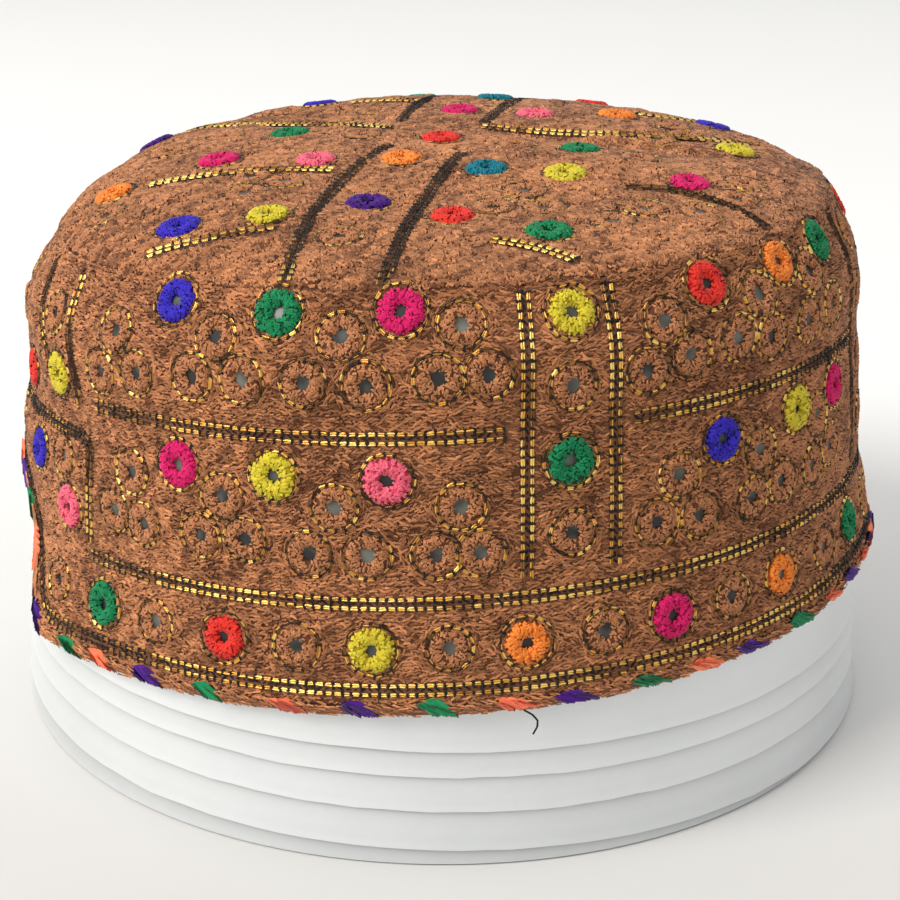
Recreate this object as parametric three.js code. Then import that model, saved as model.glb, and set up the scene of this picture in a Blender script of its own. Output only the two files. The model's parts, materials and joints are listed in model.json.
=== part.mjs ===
import * as THREE from 'three';

// Balochi cap on a coiled strip of white plastic that keeps its shape on display.
// Millimetres, +Z up. The origin is on the table under the middle of it all, and the forehead notch faces -Y.
// A bearing runs round +Z from -Y towards +X, in degrees. A height runs up the cap from its rim.

// Driving dimensions of the cap
const clothThickness = 2;
const sewnGap = 0.3; // between a piece and the cloth it is sewn to
const rimLift = 32.4; // rim above the table, on the cap's axis
const backwardLean = 0.047; // rise of the cap for each millimetre towards the back
const axisForward = 1.24; // from the middle of the whole object to the axis of cap and stand
const seamHeight = 77; // where the crown is sewn to the side band
const seamRadius = 84.7;
const crownRise = 15.3;
const crownFullness = 2.3; // exponent of the dome's outline: 2 is an ellipse, more is squarer
const crownTilt = { x: -0.088, y: -0.053 }; // the soft top stands higher towards the left and the front

// The side band's outline, from the rim up to the seam
const bandProfile = [
  { height: 0, radius: 98.6 },
  { height: 5.4, radius: 97.6 },
  { height: 13, radius: 96.3 },
  { height: 21.3, radius: 95.2 },
  { height: 36, radius: 94.2 },
  { height: 52, radius: 92.4 },
  { height: 66, radius: 90.4 },
  { height: seamHeight, radius: seamRadius },
];

// Places where the soft wall stands out from that outline
const bandSwells = [
  { bearing: 186, height: 0, halfBearing: 20, halfHeight: 12, swell: 2.8 }, // rim flared at the back
  { bearing: 30, height: 31, halfBearing: 18, halfHeight: 16, swell: 3 }, // shoulders of the arch
  { bearing: -30, height: 31, halfBearing: 18, halfHeight: 16, swell: 3 },
  { bearing: 48, height: 0, halfBearing: 14, halfHeight: 12, swell: 2.6 }, // corners of the notch
  { bearing: -48, height: 0, halfBearing: 14, halfHeight: 12, swell: 2.6 },
];

// Folds and hollows of the soft crown, in plan
const crownDents = [
  { x: -3, y: 38, halfX: 10, halfY: 26, depth: 2.6 }, // valley behind the ridge
  { x: 15, y: 42, halfX: 10, halfY: 24, depth: -1.2 }, // the ridge itself
  { x: -12, y: -40, halfX: 12, halfY: 22, depth: 1.6 },
  { x: 44, y: 10, halfX: 14, halfY: 26, depth: 1 },
];

// The forehead notch: an arch in the lower edge of the side band
const notch = { halfWidth: 78, height: 32, cornerRadius: 5 };
const clothTrim = { rim: 0.7, arch: 1.4 }; // the cloth ends this far inside the line that the cords follow
const wallRadius = 96; // arc lengths along the wall are measured on this radius

// Couched gold cords: two strands laid side by side and sewn down, as one raised line
const cord = { width: 3.4, thickness: 0.7, topWidth: 2.6 };
const cordLift = { wall: 0.45, crown: 0.55 }; // clear of the cloth, which is stiffer on the wall
const cordHeights = { rim: 4, upper: 20.5, frame: 45.5, panel: 51.8 };
const rimBinding = { halfWidth: 1.3, halfHeight: 0.75, inset: 0.8 };
const edgeSteps = 38; // stations along half of the cloth's lower edge

// The upright bands between the panels, each bordered by two cords
const columns = [
  { name: 'front', bearing: 48, halfWidth: 5.2, foot: 51, head: 75 },
  { name: 'side', bearing: 121.6, halfWidth: 5.2, foot: 25, head: 76 },
  { name: 'back', bearing: 180, halfWidth: 5.2, foot: 25, head: 76 },
];
// The middle line of each panel runs between these bearings
const panels = [
  { name: 'side', from: 59.5, to: 113.8 },
  { name: 'back', from: 129.5, to: 172 },
];
const frameBearing = 58.4; // uprights of the frame round the notch
const frameFoot = 23.5;
const frameCorner = 4.5;
const upperCordFrom = 59;

// Couched cords on the crown, in plan, each from end to end through one middle point
const crownCords = [
  { name: 'left_near', x: [80, 45, 8], y: [-7, -12, -10.5] },
  { name: 'left_far', x: [-12, -42, -78], y: [-12, -14.5, -15] },
  { name: 'right_near', x: [79, 42, 12], y: [13, 9, 8] },
  { name: 'right_far', x: [-12, -42, -80], y: [5.8, 5.5, 5] },
  { name: 'cross_front_far', x: [-8, -7, -6], y: [-76, -46, -16] },
  { name: 'cross_back_far', x: [-7.5, -8, -10], y: [10, 42, 76] },
  { name: 'cross_front_near', x: [38, 33, 30], y: [-56, -38, -17] },
  { name: 'cross_back_near', x: [24, 25, 33], y: [14, 44, 74] },
];

// Bright thread rings, each round a small mirror. The ring and its mirror are one body.
const ringProfile = [
  { radius: 0, lift: 0 },
  { radius: 4.5, lift: 0 },
  { radius: 3.7, lift: 1.4 },
  { radius: 1.7, lift: 1.4 },
  { radius: 1.2, lift: 0.5 },
  { radius: 0, lift: 0.5 },
];
const ringSides = 10;
const wallRings = [
  { name: 'top_1', bearing: 72, height: 74, right: 'blue', left: 'magenta' },
  { name: 'top_2', bearing: 87, height: 73.5, right: 'green', left: 'yellow' },
  { name: 'top_3', bearing: 102, height: 74, right: 'magenta', left: 'blue' },
  { name: 'top_4', bearing: 122, height: 72, right: 'yellow', left: 'green' },
  { name: 'top_5', bearing: 140.5, height: 73, right: 'red', left: 'orange' },
  { name: 'top_6', bearing: 154, height: 73.5, right: 'orange', left: 'purple' },
  { name: 'top_7', bearing: 165.6, height: 74.2, right: 'green', left: 'red' },
  { name: 'middle_1', bearing: 74.6, height: 44.5, right: 'magenta', left: 'orange' },
  { name: 'middle_2', bearing: 87.5, height: 44.5, right: 'yellow', left: 'green' },
  { name: 'middle_3', bearing: 100.8, height: 44.3, right: 'pink', left: 'red' },
  { name: 'middle_4', bearing: 121.5, height: 45.7, right: 'green', left: 'magenta' },
  { name: 'middle_5', bearing: 141.3, height: 44, right: 'blue', left: 'yellow' },
  { name: 'middle_6', bearing: 155, height: 44.7, right: 'yellow', left: 'pink' },
  { name: 'middle_7', bearing: 165.4, height: 45, right: 'magenta', left: 'blue' },
];
const crownRing = { name: 'crown_middle', x: 4, y: 0.3, colour: 'red' };

// The display stand: one strip wound on itself, each turn a little lower and further in than the next
const strip = { width: 70, thickness: 0.5, turnPitch: 0.8, turns: 5, startBearing: 208, stepsInTurn: 36 };
const stripCone = { radius: 96, height: 32, taper: 0.19 }; // outermost turn's outer face
const stripSqueeze = { depth: 0.86, widestBearing: 17 }; // the roll is not quite round
const stripLift = [
  { turn: 0, height: 0 },
  { turn: 1, height: 0 },
  { turn: 1.3, height: 3.4 },
  { turn: 2.3, height: 11.4 },
  { turn: 3.3, height: 18.6 },
  { turn: 4.3, height: 23.9 },
  { turn: 5, height: 27.5 },
];

const finishes = {
  brown: new THREE.MeshStandardMaterial({ color: 0x7d5037, roughness: 0.95, metalness: 0 }),
  gold: new THREE.MeshStandardMaterial({ color: 0xd9a02a, roughness: 0.4, metalness: 0.6 }),
  blue: new THREE.MeshStandardMaterial({ color: 0x3c28be, roughness: 0.85, metalness: 0 }),
  green: new THREE.MeshStandardMaterial({ color: 0x148c4b, roughness: 0.85, metalness: 0 }),
  magenta: new THREE.MeshStandardMaterial({ color: 0xe11464, roughness: 0.85, metalness: 0 }),
  yellow: new THREE.MeshStandardMaterial({ color: 0xd7c828, roughness: 0.85, metalness: 0 }),
  red: new THREE.MeshStandardMaterial({ color: 0xeb322d, roughness: 0.85, metalness: 0 }),
  orange: new THREE.MeshStandardMaterial({ color: 0xfa7d23, roughness: 0.85, metalness: 0 }),
  pink: new THREE.MeshStandardMaterial({ color: 0xfa6482, roughness: 0.85, metalness: 0 }),
  purple: new THREE.MeshStandardMaterial({ color: 0x4b1482, roughness: 0.85, metalness: 0 }),
  plastic: new THREE.MeshStandardMaterial({ color: 0xe8ebee, roughness: 0.35, metalness: 0 }),
};

const group = new THREE.Group();
const radians = THREE.MathUtils.degToRad;

// Smooth value from a table whose rows are in order of the first column
function smoothValue(rows, key, value, at) {
  const last = rows.length - 1;
  const clamped = THREE.MathUtils.clamp(at, rows[0][key], rows[last][key]);
  let i = 0;
  while (i < last - 1 && clamped > rows[i + 1][key]) i += 1;
  const slope = (a, b) => (rows[b][value] - rows[a][value]) / (rows[b][key] - rows[a][key]);
  const start = slope(Math.max(i - 1, 0), i + 1);
  const end = slope(i, Math.min(i + 2, last));
  const span = rows[i + 1][key] - rows[i][key];
  const t = (clamped - rows[i][key]) / span;
  const rise = rows[i + 1][value] - rows[i][value];
  const hermite = t * t * (3 - 2 * t);
  const bend = t * (1 - t) * ((1 - t) * start - t * end) * span;
  return rows[i][value] + rise * hermite + bend;
}

// A soft bump that is 1 at its middle and has faded to a third at the given half-lengths
function bump(acrossRatio, alongRatio) {
  return Math.exp(-(acrossRatio * acrossRatio + alongRatio * alongRatio));
}

// The cap's own frame leans back a little on the stand
function leaned(x, y, height) {
  return new THREE.Vector3(x, y, rimLift + height + backwardLean * y);
}

// A point of the side band, inset from its outer face
function bandPoint(bearing, height, inset = 0) {
  let radius = smoothValue(bandProfile, 'height', 'radius', height) - inset;
  for (const place of bandSwells) {
    const away = THREE.MathUtils.euclideanModulo(bearing - place.bearing + 180, 360) - 180;
    radius += place.swell * bump(away / place.halfBearing, (height - place.height) / place.halfHeight);
  }
  const angle = radians(bearing);
  return leaned(radius * Math.sin(angle), -radius * Math.cos(angle), height);
}

// A point of the crown above a place in plan, inset from its outer face
function crownPoint(x, y, inset = 0) {
  const out = Math.min(Math.hypot(x, y) / (seamRadius - inset), 1);
  const rise = Math.pow(1 - Math.pow(out, crownFullness), 1 / crownFullness);
  let lift = crownTilt.x * x + crownTilt.y * y;
  for (const place of crownDents) {
    lift -= place.depth * bump((x - place.x) / place.halfX, (y - place.y) / place.halfY);
  }
  return leaned(x, y, seamHeight + sewnGap + (crownRise - inset + lift) * rise);
}

// Where a surface point lies and which way the cloth faces there
function seatOn(surface, u, v) {
  const step = 0.02;
  const along = surface(u + step, v).sub(surface(u - step, v));
  const across = surface(u, v + step).sub(surface(u, v - step));
  return { point: surface(u, v), normal: along.cross(across).normalize() };
}

function addMesh(name, geometry, finish) {
  const mesh = new THREE.Mesh(geometry, finishes[finish]);
  mesh.name = name;
  group.add(mesh);
  return mesh;
}

// Joins equal rings of points into one closed skin, either round a loop or capped at both ends
function loft(rings, closed) {
  const sides = rings[0].length;
  const positions = rings.flat().flatMap((point) => [point.x, point.y, point.z]);
  const indices = [];
  const spans = closed ? rings.length : rings.length - 1;
  for (let i = 0; i < spans; i += 1) {
    const next = (i + 1) % rings.length;
    for (let j = 0; j < sides; j += 1) {
      const a = i * sides + j;
      const b = i * sides + ((j + 1) % sides);
      const c = next * sides + ((j + 1) % sides);
      const d = next * sides + j;
      indices.push(a, b, c, a, c, d);
    }
  }
  if (!closed) {
    const end = (rings.length - 1) * sides;
    for (let j = 1; j < sides - 1; j += 1) {
      indices.push(0, j + 1, j, end, end + j, end + j + 1);
    }
  }
  const geometry = new THREE.BufferGeometry();
  geometry.setAttribute('position', new THREE.Float32BufferAttribute(positions, 3));
  geometry.setIndex(facingOut(positions, indices));
  geometry.computeVertexNormals();
  return geometry;
}

// Turns every face over if the skin encloses a negative volume
function facingOut(positions, indices) {
  const corner = (i) => new THREE.Vector3().fromArray(positions, 3 * i);
  let volume = 0;
  for (let i = 0; i < indices.length; i += 3) {
    const [a, b, c] = [corner(indices[i]), corner(indices[i + 1]), corner(indices[i + 2])];
    volume += a.dot(b.cross(c));
  }
  return volume < 0 ? indices.slice().reverse() : indices;
}

// The cloth's lower edge, or a line at a steady distance inside it, as bearings and heights.
// Half of it is drawn on the unrolled wall, from the top of the arch to the back, and then mirrored.
function edgeLine(inside, steps, insideArch = inside) {
  const halfLap = Math.PI * wallRadius;
  const side = notch.halfWidth + insideArch;
  const top = notch.height + insideArch;
  const path = new THREE.Path();
  path.moveTo(0, top);
  path.bezierCurveTo(side * 0.5, top, side * 0.84, top * 0.84, side * 0.9, top * 0.44);
  path.quadraticCurveTo(side, inside, side + notch.cornerRadius, inside);
  path.lineTo(halfLap, inside);
  const half = path.getSpacedPoints(steps);
  const toStation = (point, sign) => ({ bearing: sign * point.x / radians(wallRadius), height: point.y });
  const right = half.map((point) => toStation(point, 1));
  const left = half.slice(1, -1).reverse().map((point) => toStation(point, -1));
  return right.concat(left);
}

// A raised line laid on a surface through the given places
function cordLine(name, surface, places, closed = false) {
  const foot = surface === crownPoint ? cordLift.crown : cordLift.wall;
  const seats = places.map(([u, v]) => seatOn(surface, u, v));
  const count = seats.length;
  const rings = seats.map(({ point, normal }, i) => {
    const before = seats[closed ? (i + count - 1) % count : Math.max(i - 1, 0)].point;
    const after = seats[closed ? (i + 1) % count : Math.min(i + 1, count - 1)].point;
    const side = after.clone().sub(before).cross(normal).normalize();
    const corner = (across, up) => point.clone().addScaledVector(side, across).addScaledVector(normal, up);
    const crest = foot + cord.thickness;
    return [
      corner(-cord.width / 2, foot),
      corner(cord.width / 2, foot),
      corner(cord.topWidth / 2, crest),
      corner(-cord.topWidth / 2, crest),
    ];
  });
  addMesh(name, loft(rings, closed), 'gold');
}

function evenly(from, to, steps) {
  return Array.from({ length: steps + 1 }, (unused, i) => from + ((to - from) * i) / steps);
}

// Side band: one wall of cloth, its lower edge cut up into the arch
{
  const rings = edgeLine(clothTrim.rim, edgeSteps, clothTrim.arch).map(({ bearing, height }) => {
    const heights = bandProfile.map((row) => height + ((seamHeight - height) * row.height) / seamHeight);
    const outer = heights.map((level) => bandPoint(bearing, level));
    const inner = heights.map((level) => bandPoint(bearing, level, clothThickness));
    return outer.concat(inner.reverse());
  });
  addMesh('side_band', loft(rings, true), 'brown');
}

// Crown: a domed top of the same cloth, its outer face first and then its inner face
{
  const sides = 48;
  const rows = 8;
  const flatMiddle = 0.08; // share of the way to the seam that one flat facet covers
  const faceRings = (inset) => evenly(flatMiddle, 1, rows).map((way) => {
    const out = (seamRadius - inset) * Math.sin((way * Math.PI) / 2);
    return evenly(0, 360, sides).slice(1).map((bearing) => {
      const angle = radians(bearing);
      return crownPoint(out * Math.sin(angle), -out * Math.cos(angle), inset);
    });
  });
  addMesh('crown', loft(faceRings(0).concat(faceRings(clothThickness).reverse()), false), 'brown');
}

// Rim binding: the padded edge, overcast with thread, that follows the rim and the arch
{
  const clear = sewnGap + rimBinding.halfHeight;
  const stations = edgeLine(clothTrim.rim - clear, edgeSteps, clothTrim.arch - clear);
  const count = stations.length;
  const rings = stations.map(({ bearing, height }, i) => {
    const before = stations[(i + count - 1) % count];
    const after = stations[(i + 1) % count];
    const middle = (place) => bandPoint(place.bearing, place.height, rimBinding.inset);
    const centre = middle({ bearing, height });
    const out = bandPoint(bearing, height).sub(bandPoint(bearing, height, 1)).normalize();
    const down = middle(after).sub(middle(before)).cross(out).normalize();
    return evenly(0, 360, 6).slice(1).map((turn) => centre.clone()
      .addScaledVector(out, rimBinding.halfWidth * Math.cos(radians(turn)))
      .addScaledVector(down, rimBinding.halfHeight * Math.sin(radians(turn))));
  });
  addMesh('rim_binding', loft(rings, true), 'brown');
}

// Cords round the wall: one above the rim, one higher, and a frame round the notch
{
  const rimPlaces = edgeLine(cordHeights.rim, edgeSteps).map(({ bearing, height }) => [bearing, height]);
  cordLine('cord_rim', bandPoint, rimPlaces, true);
  const upperPlaces = evenly(upperCordFrom, 360 - upperCordFrom, 48).map((bearing) => [bearing, cordHeights.upper]);
  cordLine('cord_upper', bandPoint, upperPlaces);
  const frame = new THREE.Path();
  frame.moveTo(-frameBearing, frameFoot);
  frame.lineTo(-frameBearing, cordHeights.frame - frameCorner);
  frame.quadraticCurveTo(-frameBearing, cordHeights.frame, frameCorner - frameBearing, cordHeights.frame);
  frame.lineTo(frameBearing - frameCorner, cordHeights.frame);
  frame.quadraticCurveTo(frameBearing, cordHeights.frame, frameBearing, cordHeights.frame - frameCorner);
  frame.lineTo(frameBearing, frameFoot);
  cordLine('cord_notch_frame', bandPoint, frame.getSpacedPoints(40).map((point) => [point.x, point.y]));
}

// Cords beside the columns and along the middle of the panels, on both sides of the cap
for (const column of columns) {
  for (const edge of [-1, 1]) {
    const sides = column.bearing === 180 ? [1] : [1, -1];
    for (const side of sides) {
      const bearing = side * (column.bearing + edge * column.halfWidth);
      const places = evenly(column.foot, column.head, 6).map((height) => [bearing, height]);
      const label = `${column.name}_${side > 0 ? 'right' : 'left'}_${edge > 0 ? 'b' : 'a'}`;
      cordLine(`cord_column_${label}`, bandPoint, places);
    }
  }
}
for (const panel of panels) {
  for (const side of [1, -1]) {
    const places = evenly(panel.from, panel.to, 11).map((bearing) => [side * bearing, cordHeights.panel]);
    cordLine(`cord_panel_${panel.name}_${side > 0 ? 'right' : 'left'}`, bandPoint, places);
  }
}

// Cords on the crown
for (const line of crownCords) {
  const [start, middle, end] = line.x.map((x, i) => new THREE.Vector2(x, line.y[i]));
  const curve = new THREE.SplineCurve([start, middle, end]);
  cordLine(`cord_crown_${line.name}`, crownPoint, curve.getPoints(9).map((point) => [point.x, point.y]));
}

// Mirror rings, each lying flat on the cloth
function mirrorRing(name, surface, u, v, finish) {
  const outline = ringProfile.map(({ radius, lift }) => new THREE.Vector2(radius, lift));
  const ring = addMesh(`mirror_ring_${name}`, new THREE.LatheGeometry(outline, ringSides), finish);
  const { point, normal } = seatOn(surface, u, v);
  ring.position.copy(point).addScaledVector(normal, sewnGap);
  ring.quaternion.setFromUnitVectors(new THREE.Vector3(0, 1, 0), normal);
}
for (const ring of wallRings) {
  mirrorRing(`${ring.name}_right`, bandPoint, ring.bearing, ring.height, ring.right);
  mirrorRing(`${ring.name}_left`, bandPoint, -ring.bearing, ring.height, ring.left);
}
mirrorRing(crownRing.name, crownPoint, crownRing.x, crownRing.y, crownRing.colour);

// Stand: the coiled strip, a cone that fits the inside of the cap
{
  const face = (turn, height, inset) => {
    const slope = stripCone.taper * (height - stripCone.height);
    const angle = radians(strip.startBearing - 360 * turn);
    const bulge = stripSqueeze.depth * Math.cos(2 * (angle - radians(stripSqueeze.widestBearing)));
    const radius = stripCone.radius - slope - (strip.turns - turn) * strip.turnPitch + bulge - inset;
    return new THREE.Vector3(radius * Math.sin(angle), -radius * Math.cos(angle), height);
  };
  const rings = evenly(0, strip.turns, strip.turns * strip.stepsInTurn).map((turn) => {
    const bottom = smoothValue(stripLift, 'turn', 'height', turn);
    const level = turn <= stripLift[1].turn ? 0 : Math.max(bottom, 0);
    return [
      face(turn, level, 0),
      face(turn, level + strip.width, 0),
      face(turn, level + strip.width, strip.thickness),
      face(turn, level, strip.thickness),
    ];
  });
  addMesh('stand_coil', loft(rings, false), 'plastic');
}

// The widest places are at the front of the stand and the back of the rim, so the axis lies a little forward
group.position.y = -axisForward;

export default group;
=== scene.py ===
import json
import math

import bpy
import numpy as np
from mathutils import Matrix, Vector
from mathutils.bvhtree import BVHTree
from mathutils.kdtree import KDTree


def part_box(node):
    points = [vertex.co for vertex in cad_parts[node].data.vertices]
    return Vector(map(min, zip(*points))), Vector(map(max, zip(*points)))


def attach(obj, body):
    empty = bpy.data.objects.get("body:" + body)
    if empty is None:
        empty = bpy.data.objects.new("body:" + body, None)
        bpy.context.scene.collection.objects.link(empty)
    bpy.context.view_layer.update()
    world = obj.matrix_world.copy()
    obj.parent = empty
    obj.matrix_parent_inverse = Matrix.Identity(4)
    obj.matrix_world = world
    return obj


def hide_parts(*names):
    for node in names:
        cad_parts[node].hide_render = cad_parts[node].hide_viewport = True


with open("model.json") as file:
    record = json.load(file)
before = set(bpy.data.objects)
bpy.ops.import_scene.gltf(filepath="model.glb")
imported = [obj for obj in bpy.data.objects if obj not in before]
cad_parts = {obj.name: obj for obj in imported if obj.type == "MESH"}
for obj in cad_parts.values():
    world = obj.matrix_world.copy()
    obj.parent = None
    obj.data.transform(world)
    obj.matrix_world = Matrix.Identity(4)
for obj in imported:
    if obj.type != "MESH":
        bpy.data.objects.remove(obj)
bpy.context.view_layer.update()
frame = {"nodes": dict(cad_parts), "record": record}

# Camera: a long lens to the wearer's left of the cap, a little above the crown.
# Charts are in millimetres. A bearing runs round the cap's axis from the notch (-Y) towards +X,
# in degrees, and a height runs up the cap from its rim.
MM = 0.001
crown_low, crown_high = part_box("crown")
axis_y = (crown_low.y + crown_high.y) / 2 / MM
camera_bearing, camera_out, camera_height = 107.0, 370.2, 184.8
view_bearing, view_pitch, view_roll = 106.76, 20.03, 0.40
lens_length, sensor_width, nearest_seen = 66.1, 36, 0.01


def outward_at(bearing, rise=0.0):
    """The direction that points out of the cap at a bearing and climbs at an angle"""
    turned, climb = math.radians(bearing), math.radians(rise)
    level = math.cos(climb)
    return np.array([math.sin(turned) * level, -math.cos(turned) * level, math.sin(climb)])


def add_object(name, data):
    made = bpy.data.objects.new(name, data)
    bpy.context.scene.collection.objects.link(made)
    return made


camera_data = bpy.data.cameras.new("camera")
camera_data.lens, camera_data.sensor_width, camera_data.clip_start = lens_length, sensor_width, nearest_seen
camera = add_object("camera", camera_data)
bpy.context.scene.camera = camera
roll = math.radians(view_roll)
ahead = Vector(-outward_at(view_bearing, view_pitch))
rightward = ahead.cross(Vector((0, 0, 1))).normalized()
upward = rightward.cross(ahead)
turned_right = rightward * math.cos(roll) + upward * math.sin(roll)
turned_up = upward * math.cos(roll) - rightward * math.sin(roll)
eye = Vector(outward_at(camera_bearing) * camera_out + np.array([0, axis_y, camera_height])) * MM
camera_turn = Matrix((turned_right, turned_up, -ahead)).transposed().to_4x4()
camera.matrix_world = Matrix.Translation(eye) @ camera_turn


# Floor and light: a pale table under a soft sky that is brighter on the camera's left, with one large
# soft lamp there. The table runs on past the picture's edges, so no horizon shows.
floor_half, floor_drop = 3.0, 0.0003
# painted falloff of light on the table: its colour is painted lighter far from the camera and darker near it
floor_far, floor_close, far_painted_light, near_painted_shade = -0.2, 0.17, 0.88, 0.62
sky_bright_bearing, sky_least, sky_most = 15, 0.80, 0.90
lamp_bearing, lamp_rise, lamp_away, lamp_size, lamp_watts = 50, 40, 3.0, 1.5, 72
lamp_aim = Vector((0, 0, 0.07))


def feed(node, inputs):
    """Sets inputs of a node. Each is given by name or number, as a value or another node's output."""
    for key, value in inputs.items():
        if isinstance(value, bpy.types.NodeSocket):
            node.id_data.links.new(value, node.inputs[key])
        else:
            node.inputs[key].default_value = value


def add_node(tree, kind, inputs=None, **settings):
    """A new node with its settings and its inputs"""
    made = tree.nodes.new(kind)
    for key, value in settings.items():
        setattr(made, key, value)
    feed(made, inputs or {})
    return made


def result(tree, kind, inputs=None, **settings):
    """The first output of a new node"""
    return add_node(tree, kind, inputs, **settings).outputs[0]


def tree_of(*fields):
    """The node tree that some fields belong to"""
    return next(field.id_data for field in fields if isinstance(field, bpy.types.NodeSocket))


def number(operation, first, second=0.0):
    return result(tree_of(first, second), "ShaderNodeMath", {0: first, 1: second}, operation=operation)


def vector(operation, first, second=None, scale=None):
    given = {key: value for key, value in ((0, first), (1, second), ("Scale", scale)) if value is not None}
    return result(tree_of(first, second, scale), "ShaderNodeVectorMath", given, operation=operation)


def reach_along(place, way):
    """How far a place lies along a way"""
    given = {0: place, 1: way}
    return add_node(tree_of(place), "ShaderNodeVectorMath", given, operation="DOT_PRODUCT").outputs["Value"]


def new_material(name):
    """A new material, its node tree and its shader"""
    material = bpy.data.materials.new(name)
    material.use_nodes = True
    return material, material.node_tree, material.node_tree.nodes["Principled BSDF"]


floor_mesh = bpy.data.meshes.new("floor")
corners = [(x * floor_half, y * floor_half, -floor_drop) for x, y in ((-1, -1), (1, -1), (1, 1), (-1, 1))]
floor_mesh.from_pydata(corners, [], [(0, 1, 2, 3)])
floor = add_object("floor", floor_mesh)
table, tree, shader = new_material("pale_table")
# painted shade: the table's colour darkens towards the camera, standing in for the lamp's falloff
nearness = reach_along(add_node(tree, "ShaderNodeTexCoord").outputs["Object"], outward_at(view_bearing))
painted_falloff = result(tree, "ShaderNodeMapRange", {"Value": nearness, "From Min": floor_far, "From Max": floor_close,
                                           "To Min": far_painted_light, "To Max": near_painted_shade})
feed(shader, {"Base Color": vector("SCALE", (1.0, 0.985, 0.955), scale=painted_falloff), "Roughness": 0.7})
floor_mesh.materials.append(table)

sky = bpy.data.worlds.new("soft_sky")
sky.use_nodes = True
tree = sky.node_tree
sky_way = add_node(tree, "ShaderNodeTexCoord").outputs["Generated"]
strength = result(tree, "ShaderNodeMapRange", {"Value": reach_along(sky_way, outward_at(sky_bright_bearing)),
                                               "From Min": -1.0, "To Min": sky_least, "To Max": sky_most})
feed(tree.nodes["Background"], {"Color": (0.98, 0.99, 1.0, 1), "Strength": strength})
bpy.context.scene.world = sky

lamp_data = bpy.data.lights.new("window", "AREA")
lamp_data.energy, lamp_data.size, lamp_data.color = lamp_watts, lamp_size, (1.0, 0.97, 0.93)
lamp_way = Vector(outward_at(lamp_bearing, lamp_rise))
lamp_turn = lamp_way.to_track_quat("Z", "Y").to_matrix().to_4x4()
add_object("window", lamp_data).matrix_world = Matrix.Translation(lamp_aim + lamp_way * lamp_away) @ lamp_turn
bpy.context.scene.view_settings.view_transform = "Standard"


# Stand: one strip of white, slightly see-through plastic, wound on itself into a shallow cone, each
# turn a little higher and further out than the last. The cap's wall is pushed down over the roll.
strip_width, strip_thickness, turn_pitch, turns = 70, 0.5, 0.8, 5
strip_start, steps_in_turn, strip_corner, strip_wear, wear_seed = 208, 120, 0.12, 0.07, 4
cone_radius, cone_height, cone_taper = 96, 32, 0.19
squeeze_depth, widest_bearing, lowest_painted_shade_until, open_above = 0.86, 17, 1.6, 99
strip_lift = [(0, 0), (1, 0), (1.3, 3.4), (2.3, 11.4), (3.3, 18.6), (4.3, 23.9), (5, 27.5)]
# painted light and shade on the strip, each by what it goes by, how far that reaches, and the brightness over
# that reach: a painted shadow under the next turn's edge (under), a painted highlight along the strip's own
# lower edge (over), and painted shade on the lowest turn (lowest)
strip_painted_shades = [("under", 4.0, [(0, 0.60), (0.1, 0.73), (0.3, 0.89), (0.75, 1.0)]),
                ("over", 2.0, [(0, 1.06), (1, 1.0)]), ("lowest", 1.0, [(0, 1.0), (1, 0.86)])]


def smooth_value(rows, at):
    """A smooth curve through rows of position and value"""
    places, values = np.array(rows, float).T
    at = np.clip(at, places[0], places[-1])
    last = len(places) - 1
    i = np.clip(np.searchsorted(places, at) - 1, 0, last - 1)
    before, after = np.maximum(i - 1, 0), np.minimum(i + 2, last)
    start = (values[i + 1] - values[before]) / (places[i + 1] - places[before])
    end = (values[after] - values[i]) / (places[after] - places[i])
    span = places[i + 1] - places[i]
    t = (at - places[i]) / span
    bend = t * (1 - t) * ((1 - t) * start - t * end) * span
    return values[i] + (values[i + 1] - values[i]) * t * t * (3 - 2 * t) + bend


def loft(name, rings, closed):
    """Joins equal rings of points into a skin, round a loop or capped at both ends"""
    count, sides = rings.shape[:2]
    i = np.arange(count if closed else count - 1)[:, None] * sides
    j = np.arange(sides)[None, :]
    k = (j + 1) % sides
    size = count * sides
    faces = np.stack([i + j, i + k, (i + sides + k) % size, (i + sides + j) % size], -1)
    faces = faces.reshape(-1, 4).tolist()
    if not closed:
        faces += [list(range(sides - 1, -1, -1)), list(range(size - sides, size))]
    mesh = bpy.data.meshes.new(name)
    mesh.from_pydata(rings.reshape(-1, 3).tolist(), [], faces)
    made = add_object(name, mesh)
    recalculate_outside(made)
    mesh.polygons.foreach_set("use_smooth", [True] * len(mesh.polygons))
    return made


def recalculate_outside(made):
    """Turns a closed skin's faces over if it encloses a negative volume"""
    made.data.calc_loop_triangles()
    points = np.array([v.co for v in made.data.vertices])
    corners_of = np.array([t.vertices for t in made.data.loop_triangles])
    a, b, c = (points[corners_of[:, n]] for n in range(3))
    if np.einsum("ij,ij->i", a, np.cross(b, c)).sum() < 0:
        made.data.flip_normals()


def foot_height(at):
    """How high the strip's lower edge stands, by turns"""
    return np.maximum(smooth_value(strip_lift, at), 0)


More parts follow.
